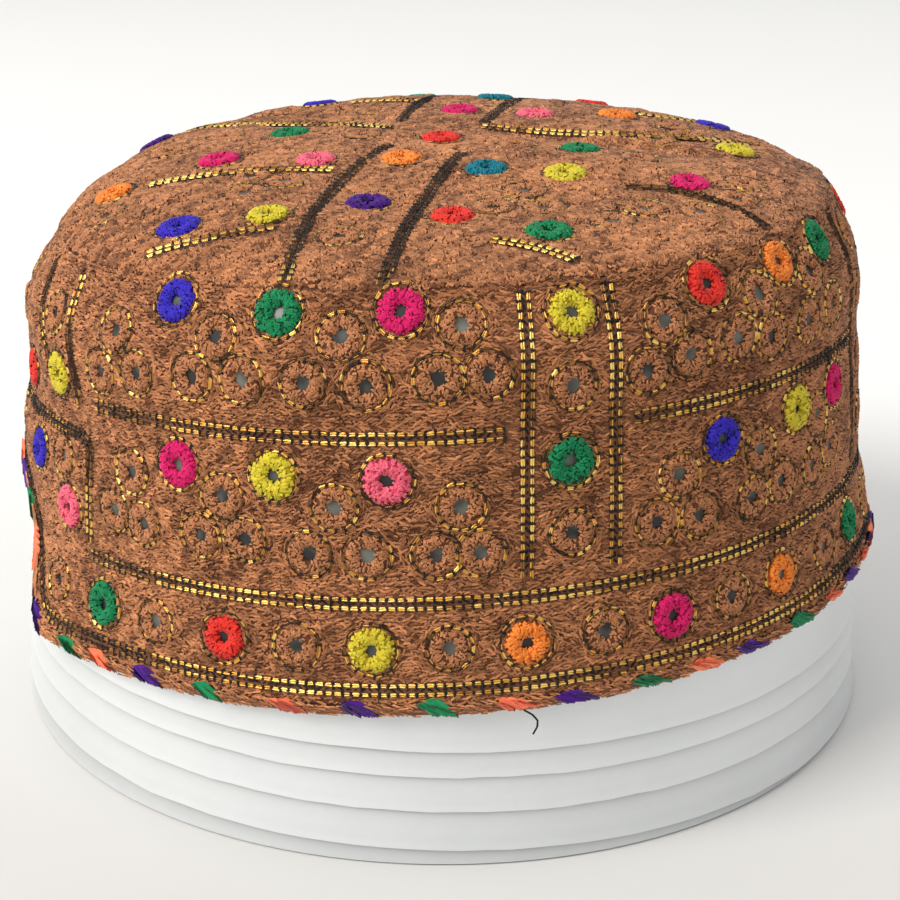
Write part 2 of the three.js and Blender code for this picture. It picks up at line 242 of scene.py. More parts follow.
turn = np.linspace(0, turns, turns * steps_in_turn + 1)
wear = np.random.default_rng(wear_seed).normal(0, strip_wear, len(turn))
strip_foot = np.where(turn <= strip_lift[1][0], 0, foot_height(turn))
strip_foot += np.where(strip_foot > 1, wear, 0)
section = [(0, strip_corner), (0, strip_width - strip_corner), (strip_corner, strip_width),
           (strip_thickness - strip_corner, strip_width), (strip_thickness, strip_width - strip_corner),
           (strip_thickness, strip_corner), (strip_thickness - strip_corner, 0), (strip_corner, 0)]
coil_rings = []
for inset, rise in section:
    height = strip_foot + rise
    angle = np.radians(strip_start - 360 * turn)
    bulge = squeeze_depth * np.cos(2 * (angle - math.radians(widest_bearing)))
    radius = cone_radius - cone_taper * (height - cone_height) - (turns - turn) * turn_pitch + bulge - inset
    coil_rings.append(np.stack([radius * np.sin(angle), axis_y - radius * np.cos(angle), height], -1) * MM)
coil = loft("plastic_coil", np.stack(coil_rings, 1), closed=False)
# painted shade and highlight: how far each point lies below the next turn's lower edge, how far above its own
# lower edge, and how far it is within the lowest turn
next_foot = np.where(turn <= turns - 1, foot_height(turn + 1), open_above)
rises = np.array([rise for inset, rise in section])
for label, values in {"under": (next_foot - strip_foot)[:, None] - rises, "over": rises + 0 * turn[:, None],
                      "lowest": np.clip(lowest_painted_shade_until - turn, 0, 1)[:, None] + 0 * rises}.items():
    kept = coil.data.attributes.new(label, "FLOAT", "POINT")
    kept.data.foreach_set("value", np.ascontiguousarray(values, np.float32).ravel())


def mottle(tree, scale, detail):
    """Unevenness of a surface, fixed to its piece, with so many waves to the metre"""
    place = add_node(tree, "ShaderNodeTexCoord").outputs["Object"]
    return result(tree, "ShaderNodeTexNoise", {"Vector": place, "Scale": float(scale), "Detail": float(detail)})


def bump(height, strength, distance):
    """A surface made a little uneven by a height"""
    given = {"Height": height, "Strength": strength, "Distance": distance}
    return result(tree_of(height), "ShaderNodeBump", given)


def ramp(factor, low, high):
    """A colour between two"""
    made = add_node(tree_of(factor), "ShaderNodeValToRGB", {"Fac": factor})
    for stop, colour in zip(made.color_ramp.elements, (low, high)):
        stop.color = (*colour, 1)
    return made.outputs[0]


def carried(tree, name):
    """A number that the piece's points carry"""
    return add_node(tree, "ShaderNodeAttribute", attribute_name=name).outputs["Fac"]


# the milky colour is multiplied by the painted shadow, painted highlight and painted shade that the strip's
# points carry
plastic, tree, shader = new_material("milky_plastic")
milk = ramp(mottle(tree, 45, 3), (0.86, 0.885, 0.885), (0.93, 0.95, 0.945))
for label, reach, stops in strip_painted_shades:
    within = result(tree, "ShaderNodeMapRange", {"Value": carried(tree, label), "From Max": reach})
    painted_shade = add_node(tree, "ShaderNodeFloatCurve", {"Value": within})
    curve = painted_shade.mapping.curves[0]
    curve.points[0].location, curve.points[1].location = stops[0], stops[-1]
    for stop in stops[1:-1]:
        curve.points.new(*stop)
    painted_shade.mapping.use_clip = False
    painted_shade.mapping.update()
    milk = vector("SCALE", milk, scale=painted_shade.outputs[0])
feed(shader, {"Base Color": milk, "Normal": bump(mottle(tree, 300, 2), 0.05, 0.002), "Roughness": 0.34,
              "Transmission Weight": 0.22, "IOR": 1.46})
coil.data.materials.append(plastic)
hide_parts("stand_coil")
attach(coil, "root")


# Cloth: two pieces of cotton, a band round the side with an arch cut over the forehead and a round
# crown, sewn edge to edge. The thread work covers them, so they show only in the chinks.
seam_height, seam_radius, sewn_gap, cloth_thickness = 77, 85.6, 0.3, 2.0
rim_lift, backward_lean, wall_radius, thread_depth = 32.4, 0.056, 96.0, 0.6
band_profile = [(0, 98.6), (5.4, 97.6), (13, 96.3), (21.3, 95.2), (36, 94.2), (52, 92.4), (66, 91.2),
                (seam_height, seam_radius)]
# bearing, height, half bearing, half height, swell
band_swells = [(184, 4, 20, 12, 1.6), (32, 31, 18, 16, 1.6), (-32, 31, 18, 16, 1.6), (48, 0, 14, 12, 2.6),
               (-48, 0, 14, 12, 2.6), (32, 64, 22, 11, 1.4), (-32, 64, 22, 11, 1.4)]
crown_rise, crown_flat, crown_round, crown_tilt = 15.3, 2.6, 1.8, (-0.088, -0.062)
# x, y, half x, half y, depth
crown_dents = [(-5.5, 36, 4.5, 24, 2.0), (15, 42, 10, 24, -1.2), (-12, -40, 12, 22, 1.6), (44, 10, 14, 26, 1),
               (-8, -71, 20, 12, -2.6), (-30, -55, 12, 12, -1.0), (-58, 5, 13, 30, 0.9)]
notch_half_width, notch_height, notch_corner = 78, 32, 5
# the arch from its top down to its foot, as shares of its half width and its height
arch_shape = [(0, 1), (0.5, 1), (0.84, 0.84), (0.9, 0.44)]
rim_trim, arch_trim, back_rise, back_spread, arch_steps = 0.7, 1.4, 2.0, 14, 120
band_columns, band_rows, crown_columns, crown_rows, lining_rows = 150, 30, 120, 26, 8


def leaned(x, y, height):
    """The cap leans back a little on its stand"""
    return np.stack([x, y + axis_y, rim_lift + height + backward_lean * y], -1) * MM


def band_point(bearing, height, out=0.0):
    """A place on the wall. The thread fills out the last half millimetre of its true shape."""
    bearing, height = np.broadcast_arrays(np.asarray(bearing, float), np.asarray(height, float))
    radius = smooth_value(band_profile, height) + out - thread_depth
    for middle, level_at, half_bearing, half_height, swell in band_swells:
        away = (bearing - middle + 180) % 360 - 180
        radius = radius + swell * np.exp(-(away / half_bearing) ** 2 - ((height - level_at) / half_height) ** 2)
    angle = np.radians(bearing)
    return leaned(radius * np.sin(angle), -radius * np.cos(angle), height)


def crown_point(x, y, inset=thread_depth):
    """A place on the crown in plan, from the middle of the cap"""
    x, y = np.broadcast_arrays(np.asarray(x, float), np.asarray(y, float))
    out = np.minimum(np.hypot(x, y) / (seam_radius - inset), 1)
    rise = (1 - out ** crown_flat) ** (1 / crown_round)
    lift = crown_tilt[0] * x + crown_tilt[1] * y
    for middle_x, middle_y, half_x, half_y, depth in crown_dents:
        lift = lift - depth * np.exp(-((x - middle_x) / half_x) ** 2 - ((y - middle_y) / half_y) ** 2)
    return leaned(x, y, seam_height + sewn_gap + (crown_rise - inset + lift) * rise)


def edge_line(inside, inside_arch, steps):
    """A line at a steady distance inside the rim and the arch, as bearings and heights"""
    side, top = notch_half_width + inside_arch, notch_height + inside_arch
    t = np.linspace(0, 1, arch_steps)[:, None]
    a, b, c, d = np.array(arch_shape) * (side, top)
    arch = a * (1 - t) ** 3 + 3 * b * t * (1 - t) ** 2 + 3 * c * t * t * (1 - t) + d * t ** 3
    e, f = np.array([side, inside]), np.array([side + notch_corner, inside])
    corner = d * (1 - t) ** 2 + 2 * e * t * (1 - t) + f * t * t
    path = np.vstack([arch, corner[1:], [[math.pi * wall_radius, inside]]])
    run = np.concatenate([[0], np.cumsum(np.hypot(*np.diff(path, axis=0).T))])
    even = np.linspace(0, run[-1], steps + 1)
    bearings = np.degrees(np.interp(even, run, path[:, 0]) / wall_radius)
    heights = np.interp(even, run, path[:, 1]) + back_rise * np.exp(-((bearings - 180) / back_spread) ** 2)
    return np.concatenate([bearings, -bearings[-2:0:-1]]), np.concatenate([heights, heights[-2:0:-1]])


edge_bearings, edge_heights = edge_line(rim_trim, arch_trim, band_columns)
outer_share, inner_share = np.linspace(0, 1, band_rows), np.linspace(1, 0, lining_rows)


def wall_rows(share, out=0.0):
    """Rows of the wall, by their share of the way from its lower edge to the seam"""
    low = edge_heights[:, None]
    return band_point(edge_bearings[:, None], low + (seam_height - low) * share, out)


def crown_rings(inset, rows):
    """Rings of the crown from its middle out to the seam"""
    out = (seam_radius - inset) * np.sin(np.linspace(0.03, 1, rows) * math.pi / 2)[:, None]
    angle = np.linspace(0, 2 * math.pi, crown_columns + 1)[None, 1:]
    return crown_point(out * np.sin(angle), -out * np.cos(angle), inset)


wall_skin = [wall_rows(outer_share), wall_rows(inner_share, thread_depth - cloth_thickness)]
crown_skin = [crown_rings(thread_depth, crown_rows), crown_rings(cloth_thickness, lining_rows)[::-1]]
side_band = loft("side_band_cloth", np.concatenate(wall_skin, 1), closed=True)
crown = loft("crown_cloth", np.concatenate(crown_skin), closed=False)

cloth, tree, shader = new_material("brown_cloth")
weave = mottle(tree, 3500, 2)
feed(shader, {"Base Color": ramp(weave, (0.10, 0.036, 0.016), (0.30, 0.125, 0.056)),
              "Normal": bump(weave, 0.6, 0.0004), "Roughness": 0.95})
skin_points, skin_faces = [], []
for piece, cad_node in [(side_band, "side_band"), (crown, "crown")]:
    piece.data.materials.append(cloth)
    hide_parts(cad_node)
    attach(piece, "root")
    first = len(skin_points)
    skin_points += [v.co.copy() for v in piece.data.vertices]
    skin_faces += [[first + n for n in face.vertices] for face in piece.data.polygons]
cloth_skin = BVHTree.FromPolygons(skin_points, skin_faces)


def on_cloth(points):
    """The nearest places on the cloth's outer face, and the ways it faces there"""
    found = [cloth_skin.find_nearest(Vector(p)) for p in points.reshape(-1, 3)]
    places = np.array([f[0] for f in found]).reshape(points.shape)
    facing = np.array([f[1] for f in found]).reshape(points.shape)
    return places, facing


# Mirrors: small round discs of thin, rather dull glass, laid on the cloth and held only by the
# thread worked round their edges. They lie in rows on the wall and in threes between the rows.
ring_nodes = {s["node"]: s["material_slot"].replace("_thread", "") for s in frame["record"]["subparts"]
              if s["node"].startswith("mirror_ring_")}
mirror_radius, mirror_thickness, mirror_lift, mirror_tilt, mirror_sides, mirror_seed = 2.1, 0.2, 0.12, 5, 10, 3
# bearings and heights of the top, left and right ring of each three, on the wall's right half
threes = [
    ((63.2, 67.5), (60.7, 59), (67.6, 60.5)), ((79.3, 69), (76.5, 61.5), (83.3, 62)),
    ((95.2, 70), (91, 62), (98.3, 61.7)), ((109, 71.5), (106.4, 62.7), (112, 63)),
    ((133.4, 68.5), (130.8, 60.3), (136.6, 61.7)), ((148.5, 69.2), (143.9, 62.6), (149.8, 61)),
    ((160.2, 70), (157.9, 61.3), (165, 62)), ((67, 40.7), (64, 32), (69.2, 31)),
    ((81, 39.5), (78, 31.3), (84, 31.7)), ((94.8, 39), (91.9, 30), (98.6, 30)),
    ((109, 39), (106.3, 30), (111.2, 30)), ((135, 39.3), (132, 31), (138, 30.2)),
    ((147.7, 39.5), (146.3, 30.2), (151.8, 31.2)), ((160.3, 41), (159, 31.2), (163.8, 33)),
]
front_threes = [((23, 70), (20, 62), (26, 62)), ((8, 70), (5, 62), (11, 62))]
# single rings: bearing, height, colour on the right half, colour on the left half
single_rings = [
    (121.6, 59.5, "brown", "brown"), (121.6, 32, "brown", "brown"), (49.8, 55.2, "yellow", "orange"),
    (48, 67, "brown", "brown"), (37.5, 51.8, "red", "blue"), (26, 54, "brown", "brown"),
    (14, 54, "green", "yellow"), (51.8, 38.7, "brown", "brown"), (53.6, 28.5, "pink", "teal"),
    (43.8, 36.8, "blue", "green"), (27, 39, "brown", "brown"), (16, 39.6, "orange", "magenta"),
    (52, 11.8, "brown", "blue"), (62.4, 11.8, "green", "brown"), (71.5, 11.8, "brown", "red"),
    (81.5, 11.8, "red", "brown"), (90.5, 11.8, "brown", "yellow"), (99.2, 11.8, "yellow", "brown"),
    (107.8, 11.8, "brown", "magenta"), (116.4, 11.8, "orange", "brown"), (125.5, 11.8, "brown", "green"),
    (134, 11.8, "magenta", "brown"), (142.7, 11.8, "brown", "blue"), (151.4, 11.8, "orange", "brown"),
    (161.5, 11.8, "brown", "yellow"), (170, 12.6, "green", "brown"),
]
middle_rings = [(0, 39.8, "green"), (0, 54, "magenta"), (5.5, 39.6, "brown"), (-5.5, 39.6, "brown"),
                *((180, height, "brown") for height in (11.8, 32, 45, 59.5, 72))]
# the crown's rings in plan: x, y and the colour of the bright ones
crown_bright_rings = [
    (39, -62, "orange"), (25.5, -43.5, "magenta"), (25.5, -21, "pink"), (21.5, -3, "orange"),
    (24.5, 16.5, "teal"), (23.5, 33, "yellow"), (19, 58, "magenta"), (4, -35.5, "green"), (5, 32, "green"),
    (-15.5, 62.5, "yellow"), (63.5, -35, "blue"), (58, -18.5, "yellow"), (48.5, -1, "purple"),
    (52, 17.5, "red"), (55.5, 37.5, "green"), (-23, -3.5, "magenta"), (-24, 14.5, "pink"),
    (-33.5, 32, "orange"), (-45, -1, "teal"), (-38, -44.5, "blue"), (-4, -73, "purple"),
    (-44.5, 53, "blue"), (-58, -24, "green"), (-60, 20, "red"),
]
crown_brown_rings = [
    (66.4, -0.4), (51.6, -57.3), (10.8, 68.2), (4.5, 17.5), (4, -18), (36.2, -31.2), (38.5, -22.4),
    (46, -28.5), (12, -62), (3, -52), (34.3, 27.3), (44.4, 23.6), (42.5, 33.5), (45.4, 47.5), (36.5, 52),
    (33.4, 62.6), (22, 68), (6, 45), (-14, 45), (-24, -34), (-26, -48), (-22, -24), (-22, 50), (-30, 46),
    (-28, 60), (-68, -5), (-50, 10), (-52, -13), (-16, -60), (-34, 66),
]
cad_lean, lying_flat = 0.047, 0.35


def unit(ways):
    """The same ways, each with a length of one"""
    return ways / np.linalg.norm(ways, axis=-1)[..., None]


# every ring as its place and its colour; the solids lean a little less than the cloth does
rings = []
for cad_node, colour in ring_nodes.items():
    node_low, node_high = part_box(cad_node)
    place = np.array((node_low + node_high) / 2)
    place[2] += (backward_lean - cad_lean) * (place[1] - axis_y * MM)
    rings.append((place, colour))
for half in (1, -1):
    for three in threes + front_threes:
        rings += [(band_point(half * bearing, height), "brown") for bearing, height in three]
    for bearing, height, right, left in single_rings:
        rings.append((band_point(half * bearing, height), right if half > 0 else left))
rings += [(band_point(bearing, height), colour) for bearing, height, colour in middle_rings]
rings += [(crown_point(x, y), colour) for x, y, colour in crown_bright_rings]
rings += [(crown_point(x, y), "brown") for x, y in crown_brown_rings]
ring_places, ring_facing = on_cloth(np.array([place for place, colour in rings]))
ring_colours = np.array([colour for place, colour in rings])
ring_across = np.cross([0, 0, 1.0], ring_facing)
lying = np.linalg.norm(ring_across, axis=1) < lying_flat
ring_across[lying] = np.cross([-1.0, 0, 0], ring_facing[lying])
ring_across = unit(ring_across)
ring_up = np.cross(ring_facing, ring_across)
dice = np.random.default_rng(7)


def new_tree(name, labels):
    """An empty node tree that takes and gives geometry, and the outputs of its input node"""
    tree = bpy.data.node_groups.new(name, "GeometryNodeTree")
    tree.interface.new_socket("Geometry", in_out="INPUT", socket_type="NodeSocketGeometry")
    kinds = {"Sides": "Int", "Strands": "Int", "Seed": "Int", "Material": "Material"}
    for label in labels:
        tree.interface.new_socket(label, in_out="INPUT", socket_type="NodeSocket" + kinds.get(label, "Float"))
    tree.interface.new_socket("Geometry", in_out="OUTPUT", socket_type="NodeSocketGeometry")
    return tree, tree.nodes.new("NodeGroupInput").outputs


def stored(tree, name, kind="FLOAT_VECTOR"):
    """A number or a way that the points carry"""
    return result(tree, "GeometryNodeInputNamedAttribute", {"Name": name}, data_type=kind)


def chance(low, high, seed, salt):
    """A random number for each point"""
    given = {2: low, 3: high, 8: number("ADD", seed, float(salt))}
    return add_node(tree_of(seed), "FunctionNodeRandomValue", given, data_type="FLOAT").outputs[1]


def near(middle, reach, seed, salt):
    """A random number for each point, within some reach of a middle"""
    return chance(number("SUBTRACT", middle, reach), number("ADD", middle, reach), seed, salt)


def xyz(tree, **parts):
    return result(tree, "ShaderNodeCombineXYZ", parts)


def faced(along, outward):
    """The turn that lays X along a thread and points Z out of the cloth"""
    given = {"Primary Axis": along, "Secondary Axis": outward}
    return result(tree_of(along), "FunctionNodeAxesToRotation", given, primary_axis="X", secondary_axis="Z")


def set_out(tree, given, shape, turned, scale=(1, 1, 1)):
    """Copies of a shape on all the points, lifted off the cloth, facing out of it and then turned"""
    outward = stored(tree, "outward")
    turns_by = {"Rotation": faced(stored(tree, "along"), outward),
                "Rotate By": result(tree, "FunctionNodeEulerToRotation", {0: turned})}
    rotation = result(tree, "FunctionNodeRotateRotation", turns_by, rotation_space="LOCAL")
    raised = result(tree, "GeometryNodeSetPosition",
                    {"Geometry": given["Geometry"], "Offset": vector("SCALE", outward, scale=given["Lift"])})
    return result(tree, "GeometryNodeInstanceOnPoints",
                  {"Points": raised, "Instance": shape, "Rotation": rotation, "Scale": scale})


def finish_tree(tree, geometry, material, smooth=True):
    """Realizes the copies, shades them smooth or flat and gives them their material"""
    real = result(tree, "GeometryNodeRealizeInstances", {"Geometry": geometry})
    shaded = result(tree, "GeometryNodeSetShadeSmooth", {"Geometry": real, "Shade Smooth": smooth})
    painted = result(tree, "GeometryNodeSetMaterial", {"Geometry": shaded, "Material": material})
    add_node(tree, "NodeGroupOutput", {"Geometry": painted})


def grow(name, points, ways, outs, numbers, tree, sizes, seed, material, slot, **settings):
    """A piece that a tree grows from loose points, kept as a plain mesh. Each point carries the way its thread
    or ring lies, the way the cloth faces and its own numbers. Sizes are in millimetres."""
    mesh = bpy.data.meshes.new(name)
    mesh.from_pydata(points.tolist(), [], [])
    for label, values in {"along": ways, "outward": outs, "size": np.ones(len(points)), **numbers}.items():
        kind, key = ("FLOAT_VECTOR", "vector") if np.ndim(values) == 2 else ("FLOAT", "value")
        carried_by = mesh.attributes.new(label, kind, "POINT")
        carried_by.data.foreach_set(key, np.ascontiguousarray(values, np.float32).ravel())
    made = add_object(name, mesh)
    given = {label: size * MM for label, size in sizes.items()}
    given.update({"Turn": 0.0, "Seed": seed, "Material": material, **settings})
    modifier = made.modifiers.new(tree.name, "NODES")
    modifier.node_group = tree
    for item in tree.interface.items_tree:
        if item.name in given:
            modifier[item.identifier] = given[item.name]
    graph = bpy.context.evaluated_depsgraph_get()
    grown = bpy.data.meshes.new_from_object(made.evaluated_get(graph))
    made.modifiers.clear()
    made.data = grown
    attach(made, "root")
    return made


mirror_inputs = ["Radius", "Thickness", "Sides", "Tilt", "Lift", "Seed", "Material"]
mirror_tree, given = new_tree("mirror discs", mirror_inputs)
disc = result(mirror_tree, "GeometryNodeMeshCylinder",
              {"Vertices": given["Sides"], "Radius": given["Radius"], "Depth": given["Thickness"]})
tip_x, tip_y = (near(0.0, given["Tilt"], given["Seed"], salt) for salt in (1, 2))
tip = xyz(mirror_tree, X=tip_x, Y=tip_y)
finish_tree(mirror_tree, set_out(mirror_tree, given, disc, tip), given["Material"], smooth=False)

# painted reflection: each disc's grey is painted at random between near black and grey, with cloudy unevenness,
# standing in for what the mirrors reflect
glass, tree, shader = new_material("dull_mirror")
clouds = result(tree, "ShaderNodeMath", {0: mottle(tree, 350, 0), 1: 1.6, 2: -1.0}, operation="MULTIPLY_ADD")
painted_reflection_tone = number("ADD", carried(tree, "tint"), clouds)
feed(shader, {"Base Color": ramp(painted_reflection_tone, (0.016, 0.015, 0.013), (0.15, 0.155, 0.13)), "Metallic": 0.2,
              "Roughness": 0.42})
mirror_sizes = {"Radius": mirror_radius, "Thickness": mirror_thickness, "Lift": mirror_lift}
mirror_painted_reflections = {"tint": dice.uniform(0, 1, len(ring_places))}
grow("mirrors", ring_places, ring_across, ring_facing, mirror_painted_reflections, mirror_tree, mirror_sizes, mirror_seed,
     glass, "mirror_glass", Sides=mirror_sides, Tilt=math.radians(mirror_tilt))


# Thread rings: soft cotton worked round the edge of each mirror into a fat ring, most of them
# brown like the ground and some bright. Short strands lie over a rolled core, every way a little.
thread_inputs = ["Length", "Width", "Height", "Lift", "Turn", "Swing", "Variation", "Seed", "Material"]
grain_tuck, grain_slope = -0.7, 1.7
strand_roll, core_fill, core_corners, core_sides = 0.92, 0.95, 14, 6
golden_angle = math.pi * (3 - math.sqrt(5))
ring_labels = ("Hole", "Outer", "Thickness", "Length", "Width", "Height", "Lift")
bright_ring = dict(zip(ring_labels, (1.15, 4.3, 1.3, 0.85, 0.55, 0.46, 0.02)))
brown_ring = dict(zip(ring_labels, (1.3, 4.0, 0.9, 0.85, 0.4, 0.34, 0.02)))
sunk_ring = {**brown_ring, "Thickness": 0.7}
bright_strands, brown_strands, ring_size_range = 230, 200, (0.94, 1.06)
first_ring_seed, level_facing = 20, 0.75
# each thread's colour in its hollows and on its crests
thread_colours = {
    "blue": ((0.012, 0.006, 0.20), (0.055, 0.03, 0.62)), "green": ((0.0, 0.075, 0.028), (0.01, 0.30, 0.105)),
    "magenta": ((0.38, 0.002, 0.07), (0.85, 0.015, 0.17)), "yellow": ((0.42, 0.30, 0.01), (0.82, 0.70, 0.05)),
    "red": ((0.50, 0.012, 0.01), (0.90, 0.05, 0.03)), "orange": ((0.75, 0.14, 0.015), (1.0, 0.33, 0.05)),
    "pink": ((0.62, 0.05, 0.10), (1.0, 0.20, 0.28)), "purple": ((0.018, 0.002, 0.07), (0.09, 0.01, 0.28)),
    "teal": ((0.0, 0.07, 0.11), (0.0, 0.25, 0.32)), "coral": ((0.85, 0.13, 0.05), (1.0, 0.27, 0.13)),
    "brown": ((0.11, 0.036, 0.013), (0.71, 0.295, 0.122)),
}

thread_tree, given = new_tree("threads", thread_inputs)
flat_grain = result(thread_tree, "GeometryNodeMeshGrid",
                    {"Size X": 1.0, "Size Y": 1.0, "Vertices X": 2, "Vertices Y": 3})
corner_at = result(thread_tree, "GeometryNodeInputPosition")
where = add_node(thread_tree, "ShaderNodeSeparateXYZ", {0: corner_at}).outputs
aside = number("ABSOLUTE", where["Y"])
tuck = number("MULTIPLY", number("MULTIPLY", where["X"], aside), grain_tuck)
slope = number("SUBTRACT", 0.5, number("MULTIPLY", aside, grain_slope))
bent = result(thread_tree, "GeometryNodeSetPosition",
              {"Geometry": flat_grain, "Offset": xyz(thread_tree, X=tuck, Z=slope)})
grain_size = xyz(thread_tree, X=given["Length"], Y=given["Width"], Z=given["Height"])
grain = result(thread_tree, "GeometryNodeTransform", {"Geometry": bent, "Scale": grain_size})
swing = xyz(thread_tree, Z=near(given["Turn"], given["Swing"], given["Seed"], 1))
own_size = stored(thread_tree, "size", "FLOAT")
varied = number("MULTIPLY", near(1.0, given["Variation"], given["Seed"], 2), own_size)
finish_tree(thread_tree, set_out(thread_tree, given, grain, swing, varied), given["Material"])


def scaled_sum(first, first_scale, second, second_scale, operation="ADD"):
    """Two ways, each scaled, added up or taken from one another"""
    first, second = vector("SCALE", first, scale=first_scale), vector("SCALE", second, scale=second_scale)
    return vector(operation, first, second)


ring_tree, given = new_tree("thread rings", ["Hole", "Outer", "Thickness", "Strands", *thread_inputs])
outward, along = stored(ring_tree, "outward"), stored(ring_tree, "along")
ring_size = stored(ring_tree, "size", "FLOAT")
upright = vector("CROSS_PRODUCT", outward, along)
copies = add_node(ring_tree, "GeometryNodeDuplicateElements",
                  {"Geometry": given["Geometry"], "Amount": given["Strands"]}, domain="POINT").outputs
place = number("ADD", copies["Duplicate Index"], chance(0.0, 0.8, given["Seed"], 3))
angle = number("MULTIPLY", place, golden_angle)
share = number("DIVIDE", place, given["Strands"])
hole_square, outer_square = (number("MULTIPLY", given[label], given[label]) for label in ("Hole", "Outer"))
reach = number("SQRT", result(ring_tree, "ShaderNodeMapRange",
                              {"Value": share, "To Min": hole_square, "To Max": outer_square}))
middle_reach = number("MULTIPLY", number("ADD", given["Hole"], given["Outer"]), 0.5)
half_reach = number("MULTIPLY", number("SUBTRACT", given["Outer"], given["Hole"]), 0.5)
lean = number("MULTIPLY", number("DIVIDE", number("SUBTRACT", reach, middle_reach), half_reach), strand_roll)
crest = number("SQRT", number("SUBTRACT", 1.0, number("MULTIPLY", lean, lean)))
radial = scaled_sum(along, number("COSINE", angle), upright, number("SINE", angle))
shift = scaled_sum(radial, reach, outward, number("MULTIPLY", crest, given["Thickness"]))
moved = result(ring_tree, "GeometryNodeSetPosition",
               {"Geometry": copies["Geometry"], "Offset": vector("SCALE", shift, scale=ring_size)})
kept = add_node(ring_tree, "GeometryNodeCaptureAttribute", {"Geometry": moved})
kept.capture_items.new("VECTOR", "facing")
kept.capture_items.new("VECTOR", "way")
feed(kept, {"facing": scaled_sum(outward, crest, radial, lean),
            "way": scaled_sum(radial, crest, outward, lean, "SUBTRACT")})
marked = kept.outputs["Geometry"]
for label, field, kind in [("outward", kept.outputs["facing"], "FLOAT_VECTOR"),
                           ("along", kept.outputs["way"], "FLOAT_VECTOR"),
                           ("tint", chance(0.36, 0.84, given["Seed"], 4), "FLOAT")]:
    marked = result(ring_tree, "GeometryNodeStoreNamedAttribute",
                    {"Geometry": marked, "Name": label, "Value": field}, data_type=kind, domain="POINT")
strand_inputs = {"Geometry": marked, **{label: given[label] for label in thread_inputs}}
strands = result(ring_tree, "GeometryNodeGroup", strand_inputs, node_tree=thread_tree)
core_radius = number("MULTIPLY", half_reach, core_fill)
core_line, core_section = (
    result(ring_tree, "GeometryNodeCurvePrimitiveCircle", {"Resolution": sides, "Radius": radius})
    for sides, radius in [(core_corners, middle_reach), (core_sides, core_radius)])
core = result(ring_tree, "GeometryNodeCurveToMesh", {"Curve": core_line, "Profile Curve": core_section})
squash = xyz(ring_tree, X=1.0, Y=1.0, Z=number("DIVIDE", given["Thickness"], half_reach))
flat_core = result(ring_tree, "GeometryNodeTransform", {"Geometry": core, "Scale": squash})
cores = result(ring_tree, "GeometryNodeInstanceOnPoints",
               {"Points": given["Geometry"], "Instance": flat_core, "Rotation": faced(along, outward),
                "Scale": ring_size})
both = add_node(ring_tree, "GeometryNodeJoinGeometry")
for part in (strands, cores):
    ring_tree.links.new(part, both.inputs[0])
finish_tree(ring_tree, both.outputs[0], given["Material"])


def thread_material(name, dark, bright, roughness=0.85, metallic=0.0, sheen=0.0):
    """Spun thread: each strand has its own tint, and fine fibres roughen it"""
    material, tree, shader = new_material(name)
    feed(shader, {"Base Color": ramp(carried(tree, "tint"), dark, bright),
                  "Normal": bump(mottle(tree, 6000, 1), 0.5, 0.0002), "Roughness": roughness,
                  "Metallic": metallic, "Sheen Weight": sheen, "Specular IOR Level": 0.25})
    return material


threads_in = {colour: thread_material(f"{colour}_thread", dark, bright, sheen=0.12)
              for colour, (dark, bright) in thread_colours.items()}
on_crown = ring_facing[:, 2] > level_facing
ring_kinds = np.where(on_crown & (ring_colours == "brown"), "brown_sunk", ring_colours)
for n, kind in enumerate(sorted(set(ring_kinds))):
    chosen, colour = ring_kinds == kind, kind.replace("_sunk", "")
    own_sizes = {"size": dice.uniform(*ring_size_range, chosen.sum())}
    sizes = {"brown": brown_ring, "brown_sunk": sunk_ring}.get(kind, bright_ring)
    strands = brown_strands if colour == "brown" else bright_strands
    slot = "brown_cloth" if colour == "brown" else f"{colour}_thread"
    rings = grow(f"rings_{kind}", ring_places[chosen], ring_across[chosen], ring_facing[chosen], own_sizes,
                 ring_tree, sizes, first_ring_seed + n, threads_in[colour], slot, Strands=strands, Swing=1.1,
                 Variation=0.25)
    covered = [node for node, node_colour in ring_nodes.items() if node_colour == kind]
    if covered:
        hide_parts(*covered)


# Gold cords: two strands of gilt cord side by side, sewn down by black thread that crosses them
# every millimetre and a half. They frame the panels, run round the rim and cross on the crown.
cord_heights = {"rim": 4, "upper": 20.5, "frame": 44.4, "panel": 51.8}
# bearing at the foot and at the head, height of the foot and of the head, on the right half
uprights = [(48.5, 39, 51, 75), (55, 51, 51, 75),
            *((bearing, bearing, 25, 76) for bearing in (116.4, 126.8, 174.8))]
panels = [(59.5, 113.8), (129.5, 174)]
frame_bearing, frame_foot, frame_corner, upper_from = 58.2, 23.5, 2.5, 59
# x at the start, the middle and the end of each cord on the crown, and y there
# the crown cords painted with a glint, and below them those painted duller, which also sit lower on the cloth
glinting_crown_cords = [
    ((-12, -11, -3), (-68, -42, -14)), ((-9, -13, -25.5), (6.5, 38, 64.5)),
    ((38.5, 33.5, 31.5), (-53, -32, -15.5)), ((73, 69, 64), (-36.5, -26, -14.5)),
    ((63, 64, 67), (29, 37, 45)), ((83.5, 82, 80.5), (-4.6, -4.8, -5.1)),
    ((83, 81, 78.5), (14, 13.7, 13.4)), ((-34, -35, -33.5), (-34, -26, -18)),
    ((-40, -41, -48), (35, 43, 51)),
]
unglinting_crown_cords = [
    ((81, 45, 13), (-5, -10.6, -9)), ((-12, -42, -78), (-14.5, -16.5, -17)), ((79, 42, 15), (13.5, 9, 8.5)),
    ((-12, -42, -80), (5.5, 5, 5)), ((27, 25, 34), (47, 61, 75.5)),
]


